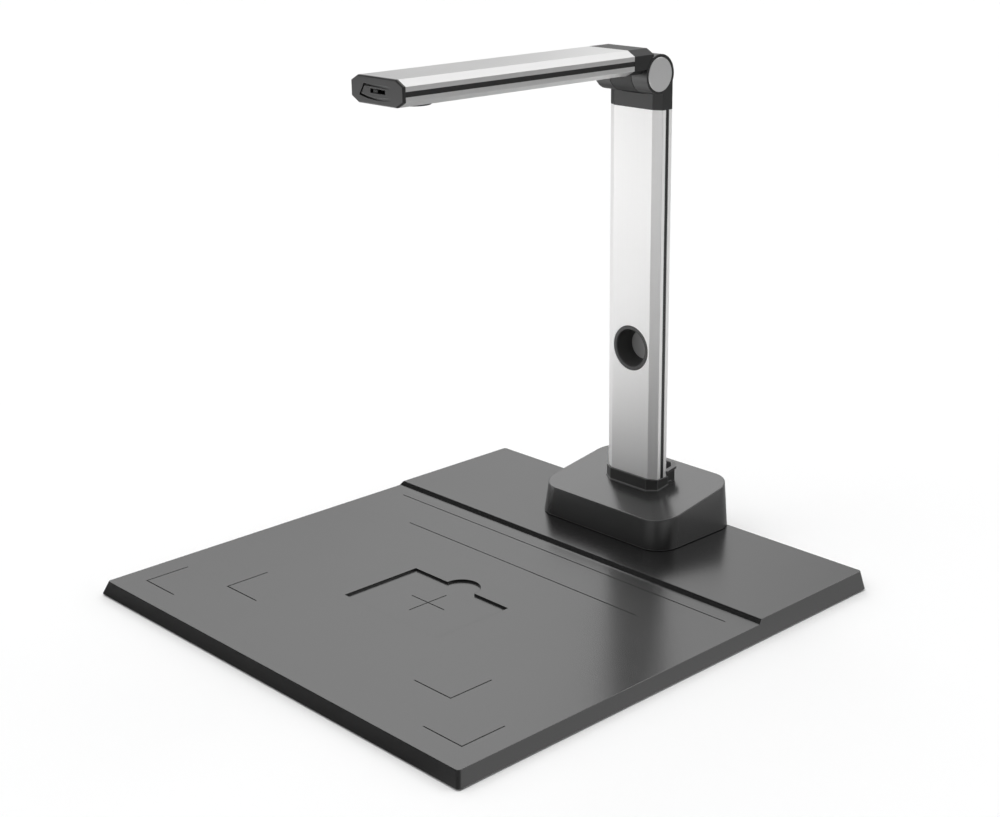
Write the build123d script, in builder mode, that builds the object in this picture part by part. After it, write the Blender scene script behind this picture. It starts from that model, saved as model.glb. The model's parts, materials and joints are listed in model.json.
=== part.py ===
from build123d import *
import os

os.makedirs("parts", exist_ok=True)

# Book scanner: an engraved scan plate, a pedestal on its rear deck, an aluminium column and a
# camera arm that folds down against the column.
# Millimetres, +X to the user's right, +Y to the back, +Z up. The origin is on the resting
# surface, at the centre of the footprint.

# ---------------------------------------------------------------- driving dimensions
GAP = 0.05                      # seating clearance between neighbouring fixed pieces
FOLD_GAP = 0.5                  # arm underside to column front when folded

# scan plate
FOOT_DROP = 1.0                 # rubber feet below the plate skirt
PLATE_HALF = 168.9              # at the skirt
PLATE_FRONT = -175.6
PLATE_REAR = 169.9
DECK_Z = 9.4                    # working deck
REAR_Z = 11.8                   # raised rear deck
STEP_FOOT_Y = 66.6
STEP_TOP_Y = 69.4
WALL_LEAN = 0.381               # the front and side walls lean in by this much per mm of height
CORE_DRAFT = 20.9               # degrees, inner faces of the walls
PLATE_CORNER = 2.2
RIM_ROUND = 0.5
SKIN = 2.2                      # deck thickness over the ribs
SKIRT_WALL = 2.6
RIB = 1.4
RIB_PITCH_X = 47.0
RIB_PITCH_Y = 48.0
COVER_THICK = 1.5
COVER_PLAY = 0.8
COVER_BOSS = 4.5
BASE_BOSS = 7.0
COVER_PILOT = 1.4               # hole for the self-tapping cover screws
PILOT_DEPTH = 4.6
FOOT_RADIUS = 7.0
FOOT_SEAT = 0.5                 # depth of the feet's seats in the cover

# engraving: A4 and A5 sheets, the optical centre and an ID card recess
CROSS_Y = -49.7
LINE_WIDTH = 0.75
LINE_DEPTH = 0.4
MARK_ARM = 30.0
CROSS_ARM = 15.0
A4_SIZE = (297.0, 210.0)
A5_SIZE = (210.0, 148.5)
CARD_WIDTH = 86.0
CARD_DEPTH = 57.6
CARD_CENTRE_Y = -51.5
CARD_SINK = 1.35
NOTCH_RADIUS = 12.5

# pedestal: its walls lean in from the deck to PED_CROWN_Z, and a sloping plane cuts off the top
PED_HALF = 58.05
PED_FRONT = 97.7
PED_REAR = 175.6
PED_CORNER = 16.5
PED_CROWN_Z = 46.3
PED_LEAN_SIDE = 1.9
PED_LEAN_FRONT = 5.3
PED_LEAN_REAR = 1.5
PED_SEAM = 0.5                  # shadow gap over the deck
PED_TOP_FRONT = 30.9
PED_TOP_REAR = 43.9
PED_EDGE = 0.6
PED_WALL = 2.4
PED_BASE_THICK = 2.5
PED_BASE_INSET = 3.0

# chamfered profile shared by the column and the arm
FLAT_HALF = 16.4
SIDE_HALF = 22.4
CHAMFER_DEPTH = 3.3
SIDE_DEPTH = 8.75
PROFILE_DEPTH = 2 * CHAMFER_DEPTH + SIDE_DEPTH
PROFILE_WALL = 1.8
PLUG_INSET = PROFILE_WALL + 0.1  # plugs that slide into the extrusions
WIRE_SLOT = (26.0, 5.0)
EDGE_ROUND = 0.35
STRIP_WIDTH = 3.0
STRIP_GROOVE = 1.0
STRIP_THICK = 0.8
STRIP_PLAY = 0.02
STRIP_X = SIDE_HALF - STRIP_GROOVE + STRIP_THICK / 2

# column and hinge
COL_FRONT = 130.8
COL_BOTTOM = 17.3
COL_TOP = 291.15
AXIS_OFFSET = 0.4               # hinge axis behind the column's front
AXIS_Y = COL_FRONT + AXIS_OFFSET
AXIS_Z = 313.7
EAR_RADIUS = 12.6
EAR_INNER = 9.6
KNUCKLE_HALF = 9.2
HINGE_CLEAR = 0.4
SHAFT_RADIUS = 3.0
RUNNING_FIT = 0.05
CAP_RADIUS = 10.75
CAP_SEAT = 1.1                  # depth of the seat for the end cap
BRACKET_SPOTS = ((-10.0, COL_TOP - 6.0), (10.0, COL_TOP - 6.0))
BRACKET_HEAD = 2.6
BRACKET_HEAD_HEIGHT = 1.2

# arm
ARM_UNDER = AXIS_Z + AXIS_OFFSET + FOLD_GAP
ARM_TIP = -75.8
TIP_FLANGE = 2.0
ARM_REAR = 107.8                # end of the arm extrusion
ROOT_REAR = 125.1               # rear face of the root cap
LENS_REACH = AXIS_Y - CROSS_Y
LENS_RING_RADIUS = 10.5
LENS_DROP = 2.0

# pocket for the lens housing
POCKET_Z = AXIS_Z - LENS_REACH
POCKET_FLANGE = 15.2
POCKET_MOUTH = 12.2
POCKET_FLOOR = 9.6
POCKET_DEPTH = 12.0
POCKET_SEAT = 0.7               # flange sunk into the column's front
POCKET_HOLE = 13.9

# socket collar: a low front half that hugs the column and a taller open pocket behind it
COLLAR_FRONT = COL_FRONT - 1.5
COLLAR_FLAT = 16.3
COLLAR_CORNER = COL_FRONT + 2.6
COLLAR_HALF = 23.4
COLLAR_TOP = 45.0
COLLAR_SPLIT = COL_FRONT + CHAMFER_DEPTH + SIDE_DEPTH + 1.0
COLLAR_REAR = 156.0
COLLAR_CHAMFER = 4.0            # rear corners
COLLAR_RISE = 10.4              # rear half over the pedestal's top
COLLAR_RIM = 1.7
RIM_REACH = 0.8                 # rim outside the pocket's walls
COLLAR_FOOT = 1.0
FOOT_REACH = 0.4
POCKET_HALF = 20.4
POCKET_REAR = 154.3
POCKET_FLOOR_Z = 41.2
SLEEVE_LOW = 30.0
SLEEVE_REAR = COL_FRONT + PROFILE_DEPTH + 1.6
SLEEVE_INSET = 0.35
OPENING_INSET = 0.25

ON_SEAT = (Align.CENTER, Align.CENTER, Align.MIN)


# ---------------------------------------------------------------- shared outlines
def profile_points(start, grow=0.0):
    """Corners of the chamfered profile, its first face at `start` along the depth axis."""
    flat = FLAT_HALF + grow * 0.55
    side = SIDE_HALF + grow
    near = start - grow
    near_side = start + CHAMFER_DEPTH - grow * 0.55
    far_side = start + CHAMFER_DEPTH + SIDE_DEPTH + grow * 0.55
    far = start + PROFILE_DEPTH + grow
    return [
        (-flat, near), (flat, near), (side, near_side), (side, far_side),
        (flat, far), (-flat, far), (-side, far_side), (-side, near_side),
    ]


def strip_centre(start):
    return start + CHAMFER_DEPTH + SIDE_DEPTH / 2


def slope_z(y):
    """Height of the pedestal's sloping top at depth y."""
    share = (y - PED_FRONT) / (PED_REAR - PED_FRONT)
    return PED_TOP_FRONT + share * (PED_TOP_REAR - PED_TOP_FRONT)


def slope_band(low, high):
    """Corners in the YZ plane of the layer between two heights over the pedestal's top."""
    front = PED_FRONT - 20
    rear = PED_REAR + 20
    return [
        (front, slope_z(front) + low), (rear, slope_z(rear) + low),
        (rear, slope_z(rear) + high), (front, slope_z(front) + high),
    ]


def collar_points(rear, grow=0.0):
    """Collar outline round the column's front and chamfers, square at `rear`."""
    flat = COLLAR_FLAT + grow * 0.4
    side = COLLAR_HALF + grow
    front = COLLAR_FRONT - grow
    corner = COLLAR_CORNER - grow * 0.4
    return [(-flat, front), (flat, front), (side, corner), (side, rear), (-side, rear), (-side, corner)]


def pocket_points(half, rear):
    """Outline behind the column, with chamfered rear corners."""
    return [
        (-half, COLLAR_SPLIT - 1.0), (half, COLLAR_SPLIT - 1.0), (half, rear - COLLAR_CHAMFER),
        (half - COLLAR_CHAMFER, rear), (-half + COLLAR_CHAMFER, rear), (-half, rear - COLLAR_CHAMFER),
    ]


def screw_spots(half_x, ys):
    return [(sx * half_x, y) for sx in (-1, 1) for y in ys]


PLATE_MID_Y = (PLATE_FRONT + PLATE_REAR) / 2
PLATE_DEPTH = PLATE_REAR - PLATE_FRONT
PED_MID_Y = (PED_FRONT + PED_REAR) / 2
PED_DEPTH = PED_REAR - PED_FRONT
FOOT_SPOTS = screw_spots(150.0, (-158.0, 0.0, 150.0))
COVER_SCREWS = screw_spots(126.0, (-150.0, -8.0, 134.0))
BASE_SCREWS = screw_spots(42.0, (112.0, 158.0))
SHELL_SCREWS = screw_spots(49.0, (122.0, 150.0))
FLANGE_SCREWS = screw_spots(25.5, (130.0, 147.0))
HEAD_SINK = 1.5                 # screw heads sunk into the pedestal's base
POST_RADIUS = 3.2
COVER_TOP = FOOT_DROP + COVER_THICK

# ---------------------------------------------------------------- scan plate
def plate_block(top_z):
    """Outer form of the plate up to top_z: front and side walls lean in, the rear wall is upright."""
    with BuildPart() as block:
        for z in (FOOT_DROP, top_z):
            lean = (z - FOOT_DROP) * WALL_LEAN
            with BuildSketch(Plane.XY.offset(z)):
                with Locations((0, PLATE_MID_Y + lean / 2)):
                    Rectangle(2 * (PLATE_HALF - lean), PLATE_DEPTH - lean)
        loft()
        corners = block.edges().filter_by(lambda edge: abs(edge.tangent_at(0.5).Z) > 0.5)
        fillet(corners, radius=PLATE_CORNER)
        fillet(block.faces().sort_by(Axis.Z)[-1].edges(), radius=RIM_ROUND)
    return block.part


front_deck = plate_block(DECK_Z)
high_deck = plate_block(REAR_Z)
STEP_RISE = REAR_Z - DECK_Z
STEP_RUN = STEP_TOP_Y - STEP_FOOT_Y

with BuildPart() as scan_plate:
    add(front_deck)
    # the rear deck is higher, with a sloping step down to the working deck
    with BuildPart(mode=Mode.PRIVATE) as rear_deck:
        add(high_deck)
        with BuildSketch(Plane.YZ):
            with BuildLine():
                Polyline(
                    (STEP_FOOT_Y - STEP_RUN, DECK_Z - STEP_RISE),
                    (STEP_TOP_Y + STEP_RUN, REAR_Z + STEP_RISE),
                    (PLATE_REAR + STEP_RISE, REAR_Z + STEP_RISE),
                    (PLATE_REAR + STEP_RISE, DECK_Z - STEP_RISE),
                    close=True,
                )
            make_face()
        extrude(amount=2 * PLATE_HALF, both=True, mode=Mode.INTERSECT)
    add(rear_deck.part)
    # hollow underside
    with BuildSketch(Plane.XY.offset(FOOT_DROP)):
        with Locations((0, PLATE_MID_Y)):
            Rectangle(2 * (PLATE_HALF - SKIRT_WALL), PLATE_DEPTH - 2 * SKIRT_WALL)
    extrude(amount=DECK_Z - SKIN - FOOT_DROP, taper=CORE_DRAFT, mode=Mode.SUBTRACT)
    # ribs between the deck and the bottom cover
    with BuildSketch(Plane.XY.offset(COVER_TOP + GAP)):
        for i in range(-3, 4):
            with Locations((i * RIB_PITCH_X, PLATE_MID_Y)):
                Rectangle(RIB, PLATE_DEPTH - 8)
        for j in range(-3, 4):
            with Locations((0, PLATE_MID_Y + j * RIB_PITCH_Y)):
                Rectangle(2 * PLATE_HALF - 8, RIB)
        with Locations(*COVER_SCREWS):
            Circle(COVER_BOSS)
        with Locations(*BASE_SCREWS):
            Circle(BASE_BOSS)
    extrude(amount=DECK_Z - SKIN - COVER_TOP)
    with BuildSketch(Plane.XY.offset(COVER_TOP)):
        with Locations(*COVER_SCREWS):
            Circle(COVER_PILOT)
    extrude(amount=PILOT_DEPTH, mode=Mode.SUBTRACT)
    with BuildSketch(Plane.XY.offset(COVER_TOP)):
        with Locations(*BASE_SCREWS):
            Circle(2.2)
    extrude(amount=REAR_Z, mode=Mode.SUBTRACT)
    with BuildSketch(Plane.XY.offset(COVER_TOP)):
        with Locations(*BASE_SCREWS):
            Circle(4.2)
    extrude(amount=3.2, mode=Mode.SUBTRACT)
    # engraved sheet marks
    with BuildSketch(Plane.XY.offset(DECK_Z - LINE_DEPTH)):
        for width, depth in (A4_SIZE, A5_SIZE):
            front = CROSS_Y - depth / 2
            for side in (-1, 1):
                corner = side * width / 2
                with Locations((corner - side * MARK_ARM / 2, front)):
                    Rectangle(MARK_ARM + LINE_WIDTH, LINE_WIDTH)
                with Locations((corner, front + MARK_ARM / 2)):
                    Rectangle(LINE_WIDTH, MARK_ARM + LINE_WIDTH)
            with Locations((0, CROSS_Y + depth / 2)):
                Rectangle(width, LINE_WIDTH)
    extrude(amount=1.0, mode=Mode.SUBTRACT)
    # ID card recess with a thumb notch in its far edge
    with BuildSketch(Plane.XY.offset(DECK_Z - CARD_SINK)):
        with Locations((0, CARD_CENTRE_Y)):
            Rectangle(CARD_WIDTH, CARD_DEPTH)
        with Locations((0, CARD_CENTRE_Y + CARD_DEPTH / 2)):
            Circle(NOTCH_RADIUS)
    extrude(amount=2.0, mode=Mode.SUBTRACT)
    with BuildSketch(Plane.XY.offset(DECK_Z - CARD_SINK - LINE_DEPTH)):
        with Locations((0, CROSS_Y)):
            Rectangle(2 * CROSS_ARM, LINE_WIDTH)
            Rectangle(LINE_WIDTH, 2 * CROSS_ARM)
    extrude(amount=LINE_DEPTH + 0.2, mode=Mode.SUBTRACT)
scan_plate.part.label = "scan_plate"
export_step(scan_plate.part, "parts/scan_plate.step")

# bottom cover, countersunk for its screws and open under the pedestal screws
with BuildPart() as plate_cover:
    with BuildSketch(Plane.XY.offset(FOOT_DROP)):
        with Locations((0, PLATE_MID_Y)):
            inset = SKIRT_WALL + COVER_PLAY
            Rectangle(2 * (PLATE_HALF - inset), PLATE_DEPTH - 2 * inset)
    extrude(amount=COVER_THICK)
    with Locations(*[(x, y, FOOT_DROP) for x, y in COVER_SCREWS]):
        Cylinder(1.7, 4, mode=Mode.SUBTRACT)
        Cone(3.2, 1.7, 1.2, align=ON_SEAT, mode=Mode.SUBTRACT)
    with Locations(*[(x, y, FOOT_DROP) for x, y in BASE_SCREWS]):
        Cylinder(4.4, 6, mode=Mode.SUBTRACT)
    with BuildSketch(Plane.XY.offset(FOOT_DROP)):
        with Locations(*FOOT_SPOTS):
            Circle(FOOT_RADIUS + 0.1)
    extrude(amount=FOOT_SEAT, mode=Mode.SUBTRACT)
plate_cover.part.label = "plate_cover"
export_step(plate_cover.part, "parts/plate_cover.step")

# rubber feet glued in shallow seats
with BuildPart() as plate_feet:
    with BuildSketch(Plane.XY):
        with Locations(*FOOT_SPOTS):
            Circle(FOOT_RADIUS)
    extrude(amount=FOOT_DROP + FOOT_SEAT)
    fillet(plate_feet.edges().group_by(Axis.Z)[0], radius=0.4)
plate_feet.part.label = "plate_feet"
export_step(plate_feet.part, "parts/plate_feet.step")


def countersunk(spots, head_z, shank_end, shank, head, head_height):
    """Countersunk screws with a cross recess, heads facing down."""
    with Locations(*[(x, y, head_z) for x, y in spots]):
        Cone(head, shank, head_height, align=ON_SEAT)
        Cylinder(shank, shank_end - head_z, align=ON_SEAT)
    with Locations(*[(x, y, head_z) for x, y in spots]):
        Box(head * 1.1, 0.6, 1.0, mode=Mode.SUBTRACT)
        Box(0.6, head * 1.1, 1.0, mode=Mode.SUBTRACT)


def pan_heads(spots, seat_z, shank_end, shank, head, head_height):
    """Pan-head screws with a cross recess, heads facing down."""
    with Locations(*[(x, y, seat_z - head_height) for x, y in spots]):
        Cylinder(head, head_height, align=ON_SEAT)
        Cylinder(shank, shank_end - seat_z + head_height, align=ON_SEAT)
    with Locations(*[(x, y, seat_z - head_height) for x, y in spots]):
        Box(head * 1.1, 0.7, 1.6, mode=Mode.SUBTRACT)
        Box(0.7, head * 1.1, 1.6, mode=Mode.SUBTRACT)


with BuildPart() as cover_screws:
    countersunk(COVER_SCREWS, FOOT_DROP + 0.05, 6.6, 1.35, 2.9, 1.1)
cover_screws.part.label = "cover_screws"
export_step(cover_screws.part, "parts/cover_screws.step")

# ---------------------------------------------------------------- pedestal
PED_BOTTOM = REAR_Z + PED_SEAM
BASE_TOP = REAR_Z + PED_BASE_THICK
STANDOFF = 1.2
BOARD_THICK = 1.6
BOARD_Z = BASE_TOP + STANDOFF
USB_Z = BOARD_Z + BOARD_THICK
USB_REAR = PED_REAR - 1.2
USB_SIZE = (12.0, 11.2)


def pedestal_block(inset):
    """Pedestal form under its sloping top, all faces moved in by `inset`."""
    crown = (PED_LEAN_SIDE, PED_LEAN_FRONT, PED_LEAN_REAR)
    with BuildPart() as block:
        for z, (side, front, rear) in ((PED_BOTTOM, (0, 0, 0)), (PED_CROWN_Z, crown)):
            with BuildSketch(Plane.XY.offset(z)):
                width = 2 * (PED_HALF - side - inset)
                depth = PED_DEPTH - front - rear - 2 * inset
                with Locations((0, PED_MID_Y + (front - rear) / 2)):
                    RectangleRounded(width, depth, PED_CORNER - inset)
        loft()
        with BuildSketch(Plane.YZ):
            with BuildLine():
                Polyline(*slope_band(-inset, 60), close=True)
            make_face()
        extrude(amount=PED_HALF + 10, both=True, mode=Mode.SUBTRACT)
    return block.part


shell_outside = pedestal_block(0)
shell_inside = pedestal_block(PED_WALL)

with BuildPart() as pedestal_shell:
    add(shell_outside)
    fillet(pedestal_shell.faces().sort_by(Axis.Z)[-1].edges(), radius=PED_EDGE)
    add(shell_inside, mode=Mode.SUBTRACT)
    # screw posts under the top
    for x, y in SHELL_SCREWS:
        with BuildSketch(Plane.XY.offset(BASE_TOP + GAP)):
            with Locations((x, y)):
                Circle(POST_RADIUS)
        extrude(amount=slope_z(y) - PED_WALL / 2 - BASE_TOP)
    with BuildSketch(Plane.XY.offset(BASE_TOP)):
        with Locations(*SHELL_SCREWS):
            Circle(1.35)
    extrude(amount=8, mode=Mode.SUBTRACT)
    # opening for the column and the collar's sleeve
    with BuildSketch(Plane.XY.offset(28)):
        with BuildLine():
            Polyline(*collar_points(SLEEVE_REAR + SLEEVE_INSET - OPENING_INSET, -OPENING_INSET), close=True)
        make_face()
    extrude(amount=20, mode=Mode.SUBTRACT)
    # window for the USB socket in the rear wall
    with BuildSketch(Plane.XZ.offset(-(PED_REAR + 3))):
        with Locations((0, USB_Z + USB_SIZE[1] / 2)):
            RectangleRounded(USB_SIZE[0] + 0.8, USB_SIZE[1] + 0.6, 0.8)
    extrude(amount=9, mode=Mode.SUBTRACT)
pedestal_shell.part.label = "pedestal_shell"
export_step(pedestal_shell.part, "parts/pedestal_shell.step")

BOARD_SPOTS = screw_spots(26.0, (158.5, 168.5))

with BuildPart() as pedestal_base:
    with BuildSketch(Plane.XY.offset(REAR_Z)):
        with Locations((0, PED_MID_Y)):
            inset = PED_BASE_INSET
            RectangleRounded(2 * (PED_HALF - inset), PED_DEPTH - 2 * inset, PED_CORNER - inset)
    extrude(amount=PED_BASE_THICK)
    with BuildSketch(Plane.XY.offset(BASE_TOP)):
        with Locations(*BASE_SCREWS):
            Circle(5.0)
    extrude(amount=7.0)
    with BuildSketch(Plane.XY.offset(BASE_TOP)):
        with Locations(*BOARD_SPOTS):
            Circle(2.4)
    extrude(amount=BOARD_Z - BASE_TOP)
    with BuildSketch(Plane.XY.offset(REAR_Z)):
        with Locations(*BASE_SCREWS):
            Circle(1.9)
    extrude(amount=8.0, mode=Mode.SUBTRACT)
    with BuildSketch(Plane.XY.offset(REAR_Z)):
        with Locations(*FLANGE_SCREWS):
            Circle(2.2)
        with Locations(*SHELL_SCREWS):
            Circle(1.6)
        with Locations(*BOARD_SPOTS):
            Circle(1.0)
    extrude(amount=6.0, mode=Mode.SUBTRACT)
    with BuildSketch(Plane.XY.offset(REAR_Z)):
        with Locations(*FLANGE_SCREWS):
            Circle(4.2)
        with Locations(*SHELL_SCREWS):
            Circle(POST_RADIUS)
    extrude(amount=HEAD_SINK, mode=Mode.SUBTRACT)
pedestal_base.part.label = "pedestal_base"
export_step(pedestal_base.part, "parts/pedestal_base.step")

with BuildPart() as base_screws:
    pan_heads(BASE_SCREWS, COVER_TOP + 3.2, REAR_Z + 7.5, 1.85, 3.9, 2.2)
base_screws.part.label = "base_screws"
export_step(base_screws.part, "parts/base_screws.step")

with BuildPart() as shell_screws:
    pan_heads(SHELL_SCREWS, REAR_Z + HEAD_SINK, BASE_TOP + 7.0, 1.3, 2.9, 1.4)
shell_screws.part.label = "shell_screws"
export_step(shell_screws.part, "parts/shell_screws.step")

# die-cast foot: a flange screwed to the base and a plug inside the column
FOOT_PLUG_TOP = 52.0
FLANGE_SIZE = (62.0, 30.0)
with BuildPart() as column_foot:
    with BuildSketch(Plane.XY.offset(BASE_TOP)):
        with Locations((0, COL_FRONT + PROFILE_DEPTH / 2)):
            RectangleRounded(*FLANGE_SIZE, 3)
    extrude(amount=COL_BOTTOM - BASE_TOP)
    with BuildSketch(Plane.XY.offset(COL_BOTTOM)):
        with BuildLine():
            Polyline(*profile_points(COL_FRONT, -PLUG_INSET), close=True)
        make_face()
    extrude(amount=FOOT_PLUG_TOP - COL_BOTTOM)
    with BuildSketch(Plane.XY.offset(COL_BOTTOM)):
        with Locations((0, COL_FRONT + PROFILE_DEPTH / 2)):
            Rectangle(20, 5)
    extrude(amount=40, mode=Mode.SUBTRACT)
    with BuildSketch(Plane.XY.offset(BASE_TOP - 1)):
        with Locations(*FLANGE_SCREWS):
            Circle(1.8)
    extrude(amount=10, mode=Mode.SUBTRACT)
column_foot.part.label = "column_foot"
export_step(column_foot.part, "parts/column_foot.step")

with BuildPart() as foot_screws:
    pan_heads(FLANGE_SCREWS, REAR_Z + HEAD_SINK, COL_BOTTOM - 0.3, 1.75, 3.6, 1.4)
foot_screws.part.label = "foot_screws"
export_step(foot_screws.part, "parts/foot_screws.step")

# control board and its USB socket
with BuildPart() as base_board:
    with BuildSketch(Plane.XY.offset(BOARD_Z)):
        with Locations((0, 163.5)):
            Rectangle(58, 17)
        with Locations(*BOARD_SPOTS):
            Circle(1.1, mode=Mode.SUBTRACT)
    extrude(amount=BOARD_THICK)
    with BuildSketch(Plane.XY.offset(BOARD_Z + BOARD_THICK)):
        with Locations((-16, 162)):
            Rectangle(7, 7)
        with Locations((15, 160), (19, 166)):
            Rectangle(4, 2.5)
    extrude(amount=1.1)
base_board.part.label = "base_board"
export_step(base_board.part, "parts/base_board.step")

with BuildPart() as board_screws:
    with Locations(*[(x, y, BASE_TOP - 2.0) for x, y in BOARD_SPOTS]):
        Cylinder(0.95, BOARD_Z + BOARD_THICK - BASE_TOP + 2.0, align=ON_SEAT)
    with Locations(*[(x, y, BOARD_Z + BOARD_THICK) for x, y in BOARD_SPOTS]):
        Cylinder(1.9, 1.2, align=ON_SEAT)
board_screws.part.label = "board_screws"
export_step(board_screws.part, "parts/board_screws.step")

with BuildPart() as usb_socket:
    with BuildSketch(Plane.XZ.offset(-USB_REAR)):
        with Locations((0, USB_Z + USB_SIZE[1] / 2)):
            RectangleRounded(USB_SIZE[0], USB_SIZE[1], 0.6)
    extrude(amount=12.0)
    # keyed mouth of a square type B socket
    with BuildSketch(Plane.XZ.offset(-USB_REAR)):
        with Locations((0, USB_Z + USB_SIZE[1] / 2)):
            Rectangle(8.6, 8.0)
            with Locations((-4.3, 4.0), (4.3, 4.0)):
                Rectangle(1.8, 1.8, rotation=45, mode=Mode.SUBTRACT)
    extrude(amount=8.8, mode=Mode.SUBTRACT)
    with BuildSketch(Plane.XZ.offset(-USB_REAR + 0.8)):
        with Locations((0, USB_Z + USB_SIZE[1] / 2)):
            Rectangle(5.6, 3.1)
    extrude(amount=9.0)
usb_socket.part.label = "usb_socket"
export_step(usb_socket.part, "parts/usb_socket.step")

# ---------------------------------------------------------------- socket collar
with BuildPart() as collar:
    with BuildSketch(Plane.XY.offset(SLEEVE_LOW)):
        with BuildLine():
            Polyline(*collar_points(COLLAR_SPLIT), close=True)
        make_face()
    extrude(amount=COLLAR_TOP - SLEEVE_LOW)
    # walls of the pocket, a rim round their top and a foot round the collar's base
    layers = (
        (pocket_points(COLLAR_HALF - RIM_REACH, COLLAR_REAR - RIM_REACH), 0.0, COLLAR_RISE),
        (pocket_points(COLLAR_HALF, COLLAR_REAR), COLLAR_RISE - COLLAR_RIM, COLLAR_RISE),
        (collar_points(COLLAR_SPLIT, FOOT_REACH), 0.0, COLLAR_FOOT),
    )
    for outline, low, high in layers:
        with BuildPart(mode=Mode.PRIVATE) as layer:
            with BuildSketch(Plane.XY.offset(SLEEVE_LOW)):
                with BuildLine():
                    Polyline(*outline, close=True)
                make_face()
            extrude(amount=30)
            with BuildSketch(Plane.YZ):
                with BuildLine():
                    Polyline(*slope_band(low, high), close=True)
                make_face()
            extrude(amount=40, both=True, mode=Mode.INTERSECT)
        add(layer.part)
    # trim what is below the pedestal's top, then add the sleeve that drops through its opening
    with BuildSketch(Plane.YZ):
        with BuildLine():
            Polyline(*slope_band(-40, GAP), close=True)
        make_face()
    extrude(amount=40, both=True, mode=Mode.SUBTRACT)
    with BuildSketch(Plane.XY.offset(SLEEVE_LOW)):
        with BuildLine():
            Polyline(*collar_points(SLEEVE_REAR, -SLEEVE_INSET), close=True)
        make_face()
    extrude(amount=POCKET_FLOOR_Z - SLEEVE_LOW)
    # column passage
    with BuildSketch(Plane.XY.offset(SLEEVE_LOW - 5)):
        with BuildLine():
            Polyline(*profile_points(COL_FRONT, GAP), close=True)
        make_face()
    extrude(amount=40, mode=Mode.SUBTRACT)
    # open pocket behind the column
    with BuildSketch(Plane.XY.offset(POCKET_FLOOR_Z)):
        with BuildLine():
            Polyline(*pocket_points(POCKET_HALF, POCKET_REAR), close=True)
        make_face()
    extrude(amount=30, mode=Mode.SUBTRACT)
collar.part.label = "socket_collar"
export_step(collar.part, "parts/socket_collar.step")


# ---------------------------------------------------------------- column
with BuildPart() as column:
    with BuildSketch(Plane.XY.offset(COL_BOTTOM)) as column_section:
        with BuildLine():
            Polyline(*profile_points(COL_FRONT), close=True)
        make_face()
        fillet(column_section.vertices(), radius=EDGE_ROUND)
        with BuildLine():
            Polyline(*profile_points(COL_FRONT, -PROFILE_WALL), close=True)
        make_face(mode=Mode.SUBTRACT)
        for side in (-1, 1):
            with Locations((side * (SIDE_HALF - STRIP_GROOVE / 2), strip_centre(COL_FRONT))):
                Rectangle(STRIP_GROOVE, STRIP_WIDTH, mode=Mode.SUBTRACT)
    extrude(amount=COL_TOP - COL_BOTTOM)
    # seat and hole for the lens pocket
    with BuildSketch(Plane.XZ.offset(-(COL_FRONT + POCKET_SEAT))):
        with Locations((0, POCKET_Z)):
            Circle(POCKET_FLANGE + GAP)
    extrude(amount=5, mode=Mode.SUBTRACT)
    with BuildSketch(Plane.XZ.offset(-(COL_FRONT + 4.0))):
        with Locations((0, POCKET_Z)):
            Circle(POCKET_HOLE)
    extrude(amount=8, mode=Mode.SUBTRACT)
    # holes for the screws that hold the foot and the bracket, from the rear
    with BuildSketch(Plane.XZ.offset(-(COL_FRONT + PROFILE_DEPTH + 1))):
        with Locations(*BRACKET_SPOTS):
            Circle(1.7)
    extrude(amount=4, mode=Mode.SUBTRACT)
column.part.label = "column_profile"
export_step(column.part, "parts/column_profile.step")


for name, side in (("column_strip_left", -1), ("column_strip_right", 1)):
    with BuildPart() as strip:
        with BuildSketch(Plane.XY.offset(COL_BOTTOM)):
            with Locations((side * STRIP_X, strip_centre(COL_FRONT))):
                Rectangle(STRIP_THICK, STRIP_WIDTH - 2 * STRIP_PLAY)
        extrude(amount=COL_TOP - COL_BOTTOM)
    strip.part.label = name
    export_step(strip.part, f"parts/{name}.step")

# tapered cup that takes the lens housing when the arm is folded
POCKET_FACE = COL_FRONT - 0.1
with BuildPart() as lens_pocket:
    with BuildSketch(Plane.YZ):
        with BuildLine():
            Polyline(
                (POCKET_FACE, POCKET_Z + POCKET_MOUTH + 0.6),
                (POCKET_FACE, POCKET_Z + POCKET_FLANGE - 0.4),
                (POCKET_FACE + 0.4, POCKET_Z + POCKET_FLANGE),
                (COL_FRONT + POCKET_SEAT - 0.02, POCKET_Z + POCKET_FLANGE),
                (COL_FRONT + POCKET_SEAT - 0.02, POCKET_Z + POCKET_MOUTH + 1.5),
                (POCKET_FACE + POCKET_DEPTH, POCKET_Z + POCKET_FLOOR + 1.2),
                (POCKET_FACE + POCKET_DEPTH + 1.0, POCKET_Z + POCKET_FLOOR),
                (POCKET_FACE + POCKET_DEPTH + 1.0, POCKET_Z),
                (POCKET_FACE + POCKET_DEPTH, POCKET_Z),
                (POCKET_FACE + POCKET_DEPTH, POCKET_Z + POCKET_FLOOR),
                (POCKET_FACE + 0.6, POCKET_Z + POCKET_MOUTH), close=True,
            )
        make_face()
    revolve(axis=Axis((0, 0, POCKET_Z), (0, 1, 0)))
lens_pocket.part.label = "lens_pocket"
export_step(lens_pocket.part, "parts/lens_pocket.step")

# ---------------------------------------------------------------- hinge bracket
BACK_Y = COL_FRONT + PROFILE_DEPTH
PLUG_DROP = 14.0

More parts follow.
